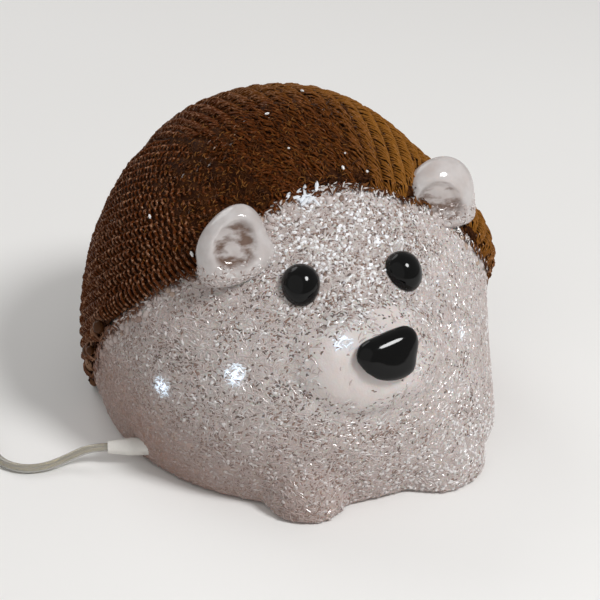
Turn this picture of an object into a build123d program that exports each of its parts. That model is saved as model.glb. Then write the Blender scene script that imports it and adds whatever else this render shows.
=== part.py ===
from build123d import *
import math
import os

os.makedirs("parts", exist_ok=True)

# Driving dimensions in millimetres. +Z is up, the face looks along -Y, +X is the animal's left.

# Body: a dome with an upright skirt, its crown set towards the back
BODY_WIDTH = 108.0
BODY_HEIGHT = 87.0
CHEST_REACH = 60.5
RUMP_REACH = 64.3
BELLY_HEIGHT = 20.0
CROWN_Y = 4.0
BASE_TUCK = 3.0
SIDE_SLOPE = 1.05
FACE_SLOPE = 1.75
RUMP_SLOPE = 1.0
WALL = 2.4
LEVEL_ANGLES = (10, 20, 30, 40, 50, 59, 68, 76, 83)
QUARTER_PULL = 0.5523

# Gaps: a glued seat, and a peg or plate in its opening
GLUE = 0.2
FIT = 0.15

# How far a cut or a blank reaches past the table
BELOW = -1.0

# Places on the face and the dome are set by their drop below the crown

# Coat of thread rows, and its rim as seen from the side
ROW_COUNT = 36
ROW_VALLEY = 1.8
ROW_PULL = 0.4
COAT_STATIONS = 11
HALVINGS = 40
COAT_FIRST_TURN = -50.0
TAIL_SHARE = 0.85
RIM_TOP_Y = -17.5
RIM_BEND_Y = -27.0
RIM_BEND_DROP = 32.6
RIM_FOOT_Y = 29.0
RIM_RADIUS = 30.0

# Base plate
PLATE_THICK = 2.4

# Face
MUZZLE_DROP = 49.5
MUZZLE_SINK = 13.6
MUZZLE_HALF_WIDTH = 23.0
MUZZLE_REACH = 20.0
MUZZLE_HALF_HEIGHT = 16.8
NOSE_WIDTH = 16.6
NOSE_HEIGHT = 12.8
NOSE_PROUD = 3.2
NOSE_CORNER = 4.3
NOSE_CHIN = 6.0
NOSE_ROUND = 3.6
NOSE_TILT = 21.5
NOSE_TURN = 2.0
NOSE_ROLL = 10.0
RIGHT_EYE = (-14.2, 28.6)
LEFT_EYE = (14.0, 30.0)
EYE_HALF_WIDTH = 5.0
EYE_UP = 5.0
EYE_DOWN = 6.2
EYE_PROUD = 4.6
PEG_DIAMETER = 3.0
PEG_LENGTH = 5.0
PEG_ROOT = 1.0

# Ears: x and drop of each, which differ because they are set by hand, as the eyes are
RIGHT_EAR = (-26.5, 23.5)
LEFT_EAR = (33.8, 24.0)
EAR_LIFT = 2.8
EAR_RADIUS = 9.4
EAR_BEAD = 2.6
EAR_DEPTH = 3.4
EAR_WALL = 2.4
EAR_LEAN = 28.0
EAR_TIP = 15.0

# Front paws
PAW_SPREAD = 36.0
PAW_SET_BACK = 10.5
PAW_RADII = (11.0, 12.0, 17.0)

# Lamps: drop and bearing of each on the inner wall, the bearing from +X in degrees
LED_SPOTS = ((58, 207), (50, 229), (43, 259), (50, 304), (57, 326), (53, 25), (53, 155), (14, 255))
LED_DIAMETER = 5.0
LED_LENGTH = 7.6
LED_SIDES = 10
DOME_STEPS = ((0.65, 20.0), (0.35, 52.0))
LED_FLANGE = 0.5
LED_FLANGE_THICK = 1.0
LED_GAP = 0.5
SLEEVE_DIAMETER = 4.4
SLEEVE_LENGTH = 6.0
DAB_DIAMETER = 8.0
DAB_DEPTH = 3.0
DAB_GAP = 0.7
WIRE_DIAMETER = 1.3
WIRE_SIDES = 5
WIRE_SPACING = 2.2
WIRE_LEAD = 7.0
WIRE_BEND = 3.0

# Cable and its gland
CORD_DIAMETER = 2.4
CORD_SIDES = 6
GLAND_HEIGHT = 5.0
GLAND_BEARING = 196.0
GLAND_SWING = 35.0
GLAND_DIAMETER = 4.8
GLAND_NOSE_DIAMETER = 3.4
GLAND_INSIDE = 4.0
GLAND_OUTSIDE = 9.0
CORD_LEAD = 5.0
CORD_ARC_SHARE = 0.45
CORD_ROUTE = (
    (-69.0, -8.0, 2.1),
    (-75.5, -8.6, 1.2),
    (-81.5, -7.0, 1.2),
    (-85.6, -1.6, 1.2),
    (-86.2, 6.0, 1.3),
    (-84.6, 14.0, 1.6),
)

# Put-away coil, its tie and the plug
COIL_CENTRE = (-101.0, 30.0)
COIL_RADIUS = 16.9
COIL_CLEAR = 0.5
HALF_TURNS_IN = 4
HALF_TURNS_OUT = 3
TIE_WIDTH = 3.0
TIE_THICK = 0.5
TIE_CLEAR = 0.3
PLUG_TAIL = 15.0
PLUG_NOSE_LENGTH = 8.0
PLUG_NOSE_DIAMETER = 4.4
PLUG_LENGTH = 15.0
PLUG_RING_SHARES = (0, 0.15, 0.25, 0.65, 0.75, 1)
PLUG_GRIP_DEPTH = 0.7
PIN_DIAMETER = 1.3
PIN_SPACING = 3.4
PIN_LENGTH = 5.0
PIN_ROOT = 3.0

# The origin lies under the middle of the object without these
CORD_NODES = ("cable_gland", "supply_cord", "cord_coil", "cord_tie", "plug_body", "plug_pins")

UP = Vector(0, 0, 1)
NORTH = Vector(0, 1, 0)
EAST = Vector(1, 0, 0)


# Body form

def body_level(height, grow=0.0):
    rise = max(0.0, height - BELLY_HEIGHT) / (BODY_HEIGHT + grow - BELLY_HEIGHT)
    spread = math.sqrt(max(0.0, 1 - rise**2))
    tuck = BASE_TUCK * (max(0.0, BELLY_HEIGHT - height) / BELLY_HEIGHT) ** 2
    half_width = (BODY_WIDTH / 2 + grow) * spread**SIDE_SLOPE - tuck
    front = CROWN_Y - (CHEST_REACH + grow + CROWN_Y) * spread**FACE_SLOPE + tuck
    rear = CROWN_Y + (RUMP_REACH + grow - CROWN_Y) * spread**RUMP_SLOPE - tuck
    return half_width, (front + rear) / 2, (rear - front) / 2


def oval(half_width, half_length):
    corners = [EAST * half_width, NORTH * half_length, EAST * -half_width, NORTH * -half_length]
    quarters = []
    for start, end in zip(corners, corners[1:] + corners[:1]):
        quarters.append(Bezier(start, start + end * QUARTER_PULL, end + start * QUARTER_PULL, end))
    return make_face(quarters)


def body_form(grow=0.0, foot=0.0):
    dome = BODY_HEIGHT + grow - BELLY_HEIGHT
    heights = [foot, BELLY_HEIGHT / 2, BELLY_HEIGHT]
    heights += [BELLY_HEIGHT + dome * math.sin(math.radians(angle)) for angle in LEVEL_ANGLES]
    sections = []
    for height in heights:
        half_width, middle, half_length = body_level(height, grow)
        sections.append(Pos(0, middle, height) * oval(half_width, half_length))
    return loft(sections + [Vertex(0, CROWN_Y, BODY_HEIGHT + grow)], ruled=True)


def wall_point(height, bearing, grow=0.0):
    half_width, middle, half_length = body_level(height, grow)
    turn = math.radians(bearing)
    return Vector(half_width * math.cos(turn), middle + half_length * math.sin(turn), height)


def face_point(x, drop):
    height = BODY_HEIGHT - drop
    half_width, middle, half_length = body_level(height)
    return Vector(x, middle - half_length * math.sqrt(1 - (x / half_width) ** 2), height)


def outward(point, grow=0.0):
    def value(x, y, z):
        half_width, middle, half_length = body_level(z, grow)
        return (x / half_width) ** 2 + ((y - middle) / half_length) ** 2

    step = 0.05
    x, y, z = point.X, point.Y, point.Z
    slope = Vector(
        value(x + step, y, z) - value(x - step, y, z),
        value(x, y + step, z) - value(x, y - step, z),
        value(x, y, z + step) - value(x, y, z - step),
    )
    return slope.normalized()


def seat(point, normal):
    return Plane(origin=point, x_dir=UP.cross(normal), z_dir=normal)


# Plain shapes

def ellipsoid(x_radius, y_radius, z_radius):
    return scale(Sphere(1), by=(x_radius, y_radius, z_radius))


def turned(points):
    return revolve(Plane.XZ * make_face(Polyline(*points, close=True)), axis=Axis.Z)


def rod(start, direction, length, diameter):
    return Plane(origin=start, z_dir=direction) * Cylinder(
        diameter / 2, length, align=(Align.CENTER, Align.CENTER, Align.MIN)
    )


def prism(start, direction, length, diameter, sides):
    outline = Plane(origin=start, z_dir=direction) * RegularPolygon(diameter / 2, sides)
    return extrude(outline, length)


def tube(path, diameter, sides):
    section = Plane(origin=path @ 0, z_dir=path % 0) * RegularPolygon(diameter / 2, sides)
    return sweep(section, path=path)


# Coat of thread rows

def coat_radius(y, angle, grow):
    across, along = math.sin(angle), math.cos(angle)
    inner, outer = 0.0, BODY_HEIGHT + BODY_WIDTH
    for _ in range(HALVINGS):
        radius = (inner + outer) / 2
        height = max(radius * along, BELLY_HEIGHT)
        half_width, middle, half_length = body_level(height, grow)
        within = height < BODY_HEIGHT + grow
        if within:
            within = (radius * across / half_width) ** 2 + ((y - middle) / half_length) ** 2 < 1
        if within:
            inner = radius
        else:
            outer = radius
    return inner


def coat_section(y):
    def corner(step, proud=0.0):
        angle = math.pi * (step / ROW_COUNT - 0.5)
        radius = coat_radius(y, angle, ROW_VALLEY) + proud
        return Vector(radius * math.sin(angle), radius * math.cos(angle))

    valleys = [corner(row) for row in range(ROW_COUNT + 1)]
    rows = []
    for row, (start, end) in enumerate(zip(valleys, valleys[1:])):
        crest = corner(row + 0.5, ROW_PULL * (end - start).length)
        rows.append(Bezier(start, crest, end))
    outline = make_face(rows + [Line(valleys[-1], valleys[0])])
    return Plane(origin=(0, y, 0), x_dir=EAST, z_dir=-NORTH) * outline


def coat_front():
    rim_bend = (RIM_BEND_Y, BODY_HEIGHT - RIM_BEND_DROP)
    outline = Polygon(
        (RIM_TOP_Y, BODY_HEIGHT * 2),
        (RIM_TOP_Y, BODY_HEIGHT),
        rim_bend,
        (RIM_FOOT_Y, 0),
        (RIM_FOOT_Y, -BELLY_HEIGHT),
        (-BODY_WIDTH, -BELLY_HEIGHT),
        (-BODY_WIDTH, BODY_HEIGHT * 2),
        align=None,
    )
    bend = outline.vertices().sort_by_distance((*rim_bend, 0))[0]
    return extrude(Plane.YZ * fillet(bend, RIM_RADIUS), BODY_WIDTH, both=True)


def make_spine_coat():
    first = min(RIM_TOP_Y, RIM_BEND_Y) - WALL
    last = RUMP_REACH + ROW_VALLEY * TAIL_SHARE
    start = math.radians(COAT_FIRST_TURN)
    turns = [start + (math.pi / 2 - start) * i / (COAT_STATIONS - 1) for i in range(COAT_STATIONS)]
    shares = [(math.sin(turn) - math.sin(start)) / (1 - math.sin(start)) for turn in turns]
    sections = [coat_section(first + (last - first) * share) for share in shares]
    coat = loft(sections, ruled=True) - body_form(GLUE, foot=BELOW) - coat_front()
    for spot in (RIGHT_EAR, LEFT_EAR):
        coat -= ear_place(*spot) * ear_form(GLUE)
    return coat


# Face pieces

def muzzle_centre():
    return face_point(0, MUZZLE_DROP) + NORTH * MUZZLE_SINK


def muzzle_form(grow=0.0):
    radii = (MUZZLE_HALF_WIDTH + grow, MUZZLE_REACH + grow, MUZZLE_HALF_HEIGHT + grow)
    return Pos(*muzzle_centre()) * ellipsoid(*radii)


def nose_seat():
    direction = (-NORTH).rotate(Axis.X, -NOSE_TILT).rotate(Axis.Z, NOSE_TURN)
    stretch = math.hypot(
        direction.X / MUZZLE_HALF_WIDTH,
        direction.Y / MUZZLE_REACH,
        direction.Z / MUZZLE_HALF_HEIGHT,
    )
    return seat(muzzle_centre() + direction / stretch, direction)


def make_nose():
    cheek = NOSE_WIDTH / 2 - NOSE_CORNER
    brow = NOSE_HEIGHT / 2 - NOSE_CORNER
    corners = [Pos(side * cheek, brow) * Circle(NOSE_CORNER) for side in (-1, 1)]
    chin = Pos(0, NOSE_CHIN - NOSE_HEIGHT / 2) * Circle(NOSE_CHIN)
    outline = make_hull([circle.edge() for circle in [*corners, chin]])
    sink = MUZZLE_REACH / 2
    block = extrude(Pos(0, 0, -sink) * outline, sink + NOSE_PROUD)
    block = fillet(block.faces().sort_by(Axis.Z)[-1].edges(), NOSE_ROUND)
    button = nose_seat() * Rot(0, 0, NOSE_ROLL) * block - muzzle_form(GLUE)
    return button + nose_peg(PEG_DIAMETER)


def nose_peg(diameter):
    place = nose_seat()
    return rod(place.origin + place.z_dir * PEG_ROOT, -place.z_dir, PEG_LENGTH + PEG_ROOT, diameter)


def make_muzzle():
    return muzzle_form() - body_form(GLUE) - nose_peg(PEG_DIAMETER + 2 * FIT)


def eye_seat(spot):
    point = face_point(*spot)
    return seat(point, outward(point))


def eye_peg(spot, diameter):
    place = eye_seat(spot)
    return rod(place.origin + place.z_dir * PEG_ROOT, -place.z_dir, PEG_LENGTH + PEG_ROOT, diameter)


def make_eye(spot):
    half = Sphere(1) & Pos(0, 1, 0) * Box(2, 2, 2)
    upper = scale(half, by=(EYE_HALF_WIDTH, EYE_UP, EYE_PROUD))
    lower = scale(mirror(half, Plane.XZ), by=(EYE_HALF_WIDTH, EYE_DOWN, EYE_PROUD))
    button = eye_seat(spot) * (upper + lower) - body_form(GLUE)
    return button + eye_peg(spot, PEG_DIAMETER)


def ear_place(x, drop):
    base = face_point(x, drop)
    centre = base + outward(base) * EAR_LIFT
    return Pos(*centre) * Rot(-EAR_TIP, math.copysign(EAR_LEAN, x), 0)


def ear_form(grow=0.0):
    ring = EAR_RADIUS - EAR_BEAD
    ball = (ring**2 + EAR_DEPTH**2) / (2 * EAR_DEPTH)
    wall = Circle(ball + EAR_WALL / 2 + grow) - Circle(ball - EAR_WALL / 2 - grow)
    behind = Rectangle(ring, 2 * EAR_DEPTH, align=(Align.MIN, Align.MIN))
    dish = Pos(0, EAR_DEPTH - ball) * wall & behind
    return revolve(dish + Pos(ring, 0) * Circle(EAR_BEAD + grow), axis=Axis.Y)


def make_ear(spot):
    return ear_place(*spot) * ear_form() - body_form(GLUE)


def make_paw(side):
    lump = Pos(side * PAW_SPREAD / 2, PAW_SET_BACK - CHEST_REACH, 0) * ellipsoid(*PAW_RADII)
    ground = Box(BODY_WIDTH, BODY_WIDTH, BODY_HEIGHT, align=(Align.CENTER, Align.MAX, Align.MIN))
    return (lump & ground) - body_form(GLUE, foot=BELOW)


# Shell and base

def gland_axis():
    point = wall_point(GLAND_HEIGHT, GLAND_BEARING)
    normal = outward(point)
    level = Vector(normal.X, normal.Y, 0).normalized()
    return point, level.rotate(Axis.Z, -GLAND_SWING)


def make_body_shell():
    shell = body_form() - body_form(-WALL, foot=BELOW)
    point, direction = gland_axis()
    start = point - direction * 2 * GLAND_INSIDE
    shell -= rod(start, direction, 4 * GLAND_INSIDE, GLAND_DIAMETER + 2 * FIT)
    for spot in (RIGHT_EYE, LEFT_EYE):
        shell -= eye_peg(spot, PEG_DIAMETER + 2 * FIT)
    return shell


def make_base_plate():
    slab = Box(
        2 * BODY_WIDTH,
        2 * BODY_WIDTH,
        PLATE_THICK,
        align=(Align.CENTER, Align.CENTER, Align.MIN),
    )
    return body_form(-WALL - FIT, foot=BELOW) & slab


# Lamps

def lamp_axis(spot):
    drop, bearing = spot
    point = wall_point(BODY_HEIGHT - drop, bearing, -WALL)
    return point, -outward(point, -WALL)


def make_led(spot):
    point, inward = lamp_axis(spot)
    radius = LED_DIAMETER / 2
    flange = LED_LENGTH - LED_FLANGE_THICK
    lamp = extrude(Pos(0, 0, radius) * RegularPolygon(radius, LED_SIDES), flange - radius)
    lamp += extrude(Pos(0, 0, flange) * RegularPolygon(radius + LED_FLANGE, LED_SIDES), LED_FLANGE_THICK)
    for share, taper in DOME_STEPS:
        lamp += extrude(lamp.faces().sort_by(Axis.Z)[0], share * radius, taper=taper)
    return Plane(origin=point + inward * LED_GAP, z_dir=inward) * lamp


def make_sleeve(spot):
    point, inward = lamp_axis(spot)
    start = point + inward * (LED_GAP + LED_LENGTH + FIT)
    return prism(start, inward, SLEEVE_LENGTH, SLEEVE_DIAMETER, LED_SIDES)


def make_dab(spot):
    point, inward = lamp_axis(spot)
    start = point + inward * DAB_GAP
    opening = prism(start, inward, DAB_DEPTH, LED_DIAMETER + 2 * FIT, LED_SIDES)
    return prism(start, inward, DAB_DEPTH, DAB_DIAMETER, LED_SIDES) - opening


def wire_end(spot, side):
    point, inward = lamp_axis(spot)
    across = UP.cross(inward).normalized() * (side * WIRE_SPACING / 2)
    end = point + inward * (LED_GAP + LED_LENGTH + SLEEVE_LENGTH + 2 * FIT) + across
    return end, end + inward * WIRE_LEAD


def wire_path(points):
    radii = [min(WIRE_BEND, radius) for radius in bend_radii(points)]
    return FilletPolyline(*points, radius=radii)


def make_wires():
    point, direction = gland_axis()
    start = point - direction * (GLAND_INSIDE + FIT)
    end, turn = wire_end(LED_SPOTS[0], 1)
    runs = [(start, start - direction * WIRE_LEAD, turn, end)]
    for spot, following in zip(LED_SPOTS, LED_SPOTS[1:]):
        leave, first = wire_end(spot, -1)
        arrive, last = wire_end(following, 1)
        runs.append((leave, first, last, arrive))
    return [tube(wire_path(run), WIRE_DIAMETER, WIRE_SIDES) for run in runs]


# Cable

def make_gland():
    point, direction = gland_axis()
    radius, nose = GLAND_DIAMETER / 2, GLAND_NOSE_DIAMETER / 2
    shoulder = GLAND_INSIDE + GLAND_OUTSIDE / 3
    length = GLAND_INSIDE + GLAND_OUTSIDE
    sleeve = turned([(0, 0), (radius, 0), (radius, shoulder), (nose, length), (0, length)])
    return Plane(origin=point - direction * GLAND_INSIDE, z_dir=direction) * sleeve


def coil_low():
    return TIE_THICK + TIE_CLEAR + CORD_DIAMETER / 2


def coil_points():
    step = (CORD_DIAMETER + COIL_CLEAR) / 2
    inner = COIL_RADIUS - HALF_TURNS_IN * step
    radii = [COIL_RADIUS - turn * step for turn in range(HALF_TURNS_IN)]
    radii += [inner]
    radii += [inner + (turn + 1) * step for turn in range(HALF_TURNS_OUT)]
    point = Vector(COIL_CENTRE[0] + COIL_RADIUS, COIL_CENTRE[1], coil_low())
    points = [point]
    for turn, radius in enumerate(radii):
        climb = CORD_DIAMETER + COIL_CLEAR if turn == HALF_TURNS_IN else 0
        side = -1 if turn % 2 == 0 else 1
        point = point + EAST * (side * 2 * radius) + UP * climb
        points.append(point)
    return points


def biarc(start, leave, end, arrive):
    chord = end - start
    both = leave + arrive
    facing = 2 * (1 - leave.dot(arrive))
    reach = math.sqrt(chord.dot(both) ** 2 + facing * chord.dot(chord)) - chord.dot(both)
    middle = (start + end + (leave - arrive) * (reach / facing)) * 0.5
    first = TangentArc(start, middle, tangent=leave)
    return [first, TangentArc(middle, end, tangent=first % 1)]


def coil_path():
    points = coil_points()
    heading = NORTH
    edges = [Line(points[0] - heading * CORD_DIAMETER, points[0])]
    for start, end in zip(points, points[1:]):
        edges += biarc(start, heading, end, -heading)
        heading = -heading
    edges.append(Line(points[-1], points[-1] + heading * PLUG_TAIL))
    return Wire(edges), heading


def least_gap(path, diameter):
    count = int(path.length / diameter * 2)
    points = [path @ (i / count) for i in range(count + 1)]
    skip = 8
    pairs = ((a, b) for i, a in enumerate(points) for b in points[i + skip:])
    return min((a - b).length for a, b in pairs) - diameter


def cord_points():
    point, direction = gland_axis()
    start = point + direction * GLAND_OUTSIDE
    end = coil_points()[0] - NORTH * CORD_DIAMETER
    lead = start + direction * CORD_LEAD
    return [start, lead] + [Vector(*p) for p in CORD_ROUTE] + [end - NORTH * CORD_LEAD, end]


def bend_radii(points):
    radii = []
    for before, corner, after in zip(points, points[1:], points[2:]):
        arriving, leaving = corner - before, after - corner
        turn = math.radians(arriving.get_angle(leaving))
        radii.append(CORD_ARC_SHARE * min(arriving.length, leaving.length) / math.tan(turn / 2))
    return radii


def make_supply_cord():
    points = cord_points()
    radii = bend_radii(points)
    path = FilletPolyline(*points, radius=radii)
    cord = tube(path, CORD_DIAMETER, CORD_SIDES)
    print("cord radii", [round(radius, 1) for radius in radii])
    print("cord length", round(path.length, 1))
    plain = path.length * RegularPolygon(CORD_DIAMETER / 2, CORD_SIDES).area
    print("cord volume over section times length", round(cord.volume / plain, 4))
    return cord


def make_coil():
    path, _ = coil_path()
    print("coil length", round(path.length, 1), "least gap", round(least_gap(path, CORD_DIAMETER), 2))
    return tube(path, CORD_DIAMETER, CORD_SIDES)


def make_tie():
    west = [point.X for point in coil_points()[1::2]]
    reach = CORD_DIAMETER / 2 + TIE_CLEAR
    top = coil_low() + CORD_DIAMETER + COIL_CLEAR + reach
    width, height = max(west) - min(west) + 2 * reach, top - TIE_THICK
    outer = Box(width + 2 * TIE_THICK, TIE_WIDTH, height + 2 * TIE_THICK)
    band = fillet(outer.edges().filter_by(Axis.Y), CORD_DIAMETER / 2) - Box(width, TIE_WIDTH, height)
    return Pos((max(west) + min(west)) / 2, COIL_CENTRE[1], TIE_THICK + height / 2) * band


def plug_plane(distance):
    path, heading = coil_path()
    return Plane(origin=path @ 1 + heading * distance, x_dir=EAST, z_dir=heading)


def make_plug_body():
    radius = coil_low() + CORD_DIAMETER + COIL_CLEAR
    grip = radius - PLUG_GRIP_DEPTH
    nose = PLUG_NOSE_DIAMETER / 2
    rings = [PLUG_NOSE_LENGTH + PLUG_LENGTH * share for share in PLUG_RING_SHARES]
    profile = [
        (0, 0),
        (nose, 0),
        (grip - PLUG_GRIP_DEPTH, rings[0]),
        (radius, rings[1]),
        (grip, rings[2]),
        (grip, rings[3]),
        (radius, rings[4]),
        (radius, rings[5]),
        (0, rings[5]),
    ]
    holes = make_pins(PIN_ROOT + FIT, PIN_DIAMETER + 2 * FIT)
    return plug_plane(0) * turned(profile) - holes


def make_pins(root, diameter):
    place = plug_plane(PLUG_NOSE_LENGTH + PLUG_LENGTH - root)
    starts = [place.origin + EAST * (side * PIN_SPACING / 2) for side in (-1, 1)]
    return [rod(start, place.z_dir, root + PIN_LENGTH, diameter) for start in starts]


def group(pieces):
    return Compound(children=pieces)


def build():
    nodes = {
        "body_shell": make_body_shell(),
        "spine_coat": make_spine_coat(),
        "base_plate": make_base_plate(),
        "muzzle": make_muzzle(),
        "nose": make_nose(),
        "right_eye": make_eye(RIGHT_EYE),
        "left_eye": make_eye(LEFT_EYE),
        "right_ear": make_ear(RIGHT_EAR),
        "left_ear": make_ear(LEFT_EAR),
        "front_right_paw": make_paw(-1),
        "front_left_paw": make_paw(1),
        "led_sleeves": group([make_sleeve(spot) for spot in LED_SPOTS]),
        "led_glue_dabs": group([make_dab(spot) for spot in LED_SPOTS]),
        "led_wire": group(make_wires()),
        "cable_gland": make_gland(),
        "supply_cord": make_supply_cord(),
        "cord_coil": make_coil(),
        "cord_tie": make_tie(),
        "plug_body": make_plug_body(),
        "plug_pins": group(make_pins(PIN_ROOT, PIN_DIAMETER)),
    }
    for number, spot in enumerate(LED_SPOTS, 1):
        nodes[f"led_{number}"] = make_led(spot)
    return nodes


def settle(nodes):
    boxes = [piece.bounding_box() for name, piece in nodes.items() if name not in CORD_NODES]
    middle = (min(box.min.Y for box in boxes) + max(box.max.Y for box in boxes)) / 2
    print("moved along Y by", round(-middle, 3))
    return {name: Pos(0, -middle, 0) * piece for name, piece in nodes.items()}


for name, piece in settle(build()).items():
    export_step(piece, f"parts/{name}.step")
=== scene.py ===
import math

import bpy
import numpy as np
from mathutils import Matrix, Vector
from mathutils.bvhtree import BVHTree
from mathutils.noise import turbulence


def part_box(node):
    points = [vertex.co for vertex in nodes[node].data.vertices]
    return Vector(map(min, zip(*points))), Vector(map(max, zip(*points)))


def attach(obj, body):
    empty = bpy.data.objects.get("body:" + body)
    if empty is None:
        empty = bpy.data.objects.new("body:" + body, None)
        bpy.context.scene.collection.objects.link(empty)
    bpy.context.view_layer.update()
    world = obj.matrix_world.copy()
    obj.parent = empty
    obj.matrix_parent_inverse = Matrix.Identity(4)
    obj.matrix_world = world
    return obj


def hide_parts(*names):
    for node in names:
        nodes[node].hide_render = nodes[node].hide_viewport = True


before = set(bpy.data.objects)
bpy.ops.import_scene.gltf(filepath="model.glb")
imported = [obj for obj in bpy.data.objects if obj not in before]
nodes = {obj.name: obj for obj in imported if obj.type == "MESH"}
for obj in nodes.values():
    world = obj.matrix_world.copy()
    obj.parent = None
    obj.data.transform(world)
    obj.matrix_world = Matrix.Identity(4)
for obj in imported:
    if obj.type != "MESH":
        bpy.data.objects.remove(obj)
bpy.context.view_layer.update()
mm = 0.001
bpy.context.scene.view_settings.view_transform = "Standard"
print("frame loaded with", len(nodes), "nodes")


# Small hand tools

def deselectAll():
    if bpy.context.object and bpy.context.object.mode != "OBJECT":
        bpy.ops.object.mode_set(mode="OBJECT")
    bpy.ops.object.select_all(action="DESELECT")


def pick(*pieces):
    deselectAll()
    for piece in pieces:
        piece.select_set(True)
    bpy.context.view_layer.objects.active = pieces[0]


def addPiece(name, data):
    piece = bpy.data.objects.new(name, data)
    bpy.context.scene.collection.objects.link(piece)
    return piece


def copyNode(node, name):
    piece = addPiece(name, nodes[node].data.copy())
    pick(piece)
    bpy.ops.object.mode_set(mode="EDIT")
    bpy.ops.mesh.select_all(action="SELECT")
    bpy.ops.mesh.remove_doubles(threshold=0.01 * mm)  # the node's triangles are loose
    bpy.ops.object.mode_set(mode="OBJECT")
    return piece


def applyModifier(piece, kind, **settings):
    pick(piece)
    modifier = piece.modifiers.new(kind.title(), kind)
    for key, value in settings.items():
        setattr(modifier, key, value)
    bpy.ops.object.modifier_apply(modifier=modifier.name)


def smoothShape(piece, rounds):
    applyModifier(piece, "SMOOTH", factor=0.5, iterations=rounds)


def remesh(piece, s):
    applyModifier(piece, "REMESH", mode="VOXEL", voxel_size=s["voxel"])
    smoothShape(piece, s["smoothRounds"])


def smoothFaces(piece):
    piece.data.polygons.foreach_set("use_smooth", [True] * len(piece.data.polygons))


def readVertices(mesh, what):
    values = np.zeros(len(mesh.vertices) * 3)
    mesh.vertices.foreach_get(what, values)
    return values.reshape(-1, 3)


def vertexPlaces(mesh):
    return readVertices(mesh, "co")


def vertexNormals(mesh):
    return readVertices(mesh, "normal")


def setPlaces(mesh, places):
    mesh.vertices.foreach_set("co", places.astype(np.float32).ravel())
    mesh.update()


def writeNumbers(mesh, name, values):
    layer = mesh.attributes.new(name, "FLOAT", "POINT")
    layer.data.foreach_set("value", np.asarray(values, np.float32))


def writeColours(mesh, name, colours):
    full = np.ones((len(colours), 4), np.float32)
    full[:, :3] = colours
    layer = mesh.attributes.new(name, "FLOAT_COLOR", "POINT")
    layer.data.foreach_set("color", full.ravel())


def treeOf(piece):
    mesh = piece.data
    return BVHTree.FromPolygons([v.co for v in mesh.vertices], [p.vertices for p in mesh.polygons])


def ramp(values, start, end):
    # 0 up to the start, 1 from the end on
    return np.clip((values - start) / (end - start), 0, 1)


def gapsTo(middle, places):
    return np.linalg.norm(places - np.array(middle), axis=1)


def ovalGaps(middle, places, squash):
    return np.linalg.norm((places - np.array(middle)) * np.array(squash), axis=1)


def between(pair, share):
    return pair[0] + (pair[1] - pair[0]) * min(1.0, max(0.0, share))


def boxMiddle(node):
    low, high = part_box(node)
    return (low + high) / 2


def wear(piece, material):
    piece.data.materials.clear()
    piece.data.materials.append(material)


def settle(piece, material):
    wear(piece, material)
    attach(piece, "root")
    return piece


# Camera, at the photograph's viewing angle

cameraSet = {
    "azimuth": -24.0,
    "elevation": 28.0,
    "distance": 620 * mm,
    "fieldOfView": 15.2,
    "target": (1.7 * mm, -3.1 * mm, 32.5 * mm),
    "nearest": 10 * mm,
}


def makeCamera(s):
    turn, tilt = math.radians(s["azimuth"]), math.radians(s["elevation"])
    back = Vector((
        math.sin(turn) * math.cos(tilt),
        -math.cos(turn) * math.cos(tilt),
        math.sin(tilt),
    ))
    deselectAll()
    bpy.ops.object.camera_add(location=Vector(s["target"]) + back * s["distance"])
    camera = bpy.context.object
    camera.rotation_euler = (-back).to_track_quat("-Z", "Y").to_euler()
    camera.data.angle = math.radians(s["fieldOfView"])
    camera.data.clip_start = s["nearest"]
    bpy.context.scene.camera = camera


makeCamera(cameraSet)
print("camera set")


# Shader maths: a Signal is one socket, a Board is one material

class Signal:
    def __init__(self, board, socket):
        self.board = board
        self.socket = socket

    def sum(self, operation, first, second):
        return self.board.add("ShaderNodeMath", {"operation": operation}, {0: first, 1: second})

    def __add__(self, other):
        return self.sum("ADD", self, other)

    def __radd__(self, other):
        return self.sum("ADD", other, self)

    def __sub__(self, other):
        return self.sum("SUBTRACT", self, other)

    def __rsub__(self, other):
        return self.sum("SUBTRACT", other, self)

    def __mul__(self, other):
        return self.sum("MULTIPLY", self, other)

    def __rmul__(self, other):
        return self.sum("MULTIPLY", other, self)


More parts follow.
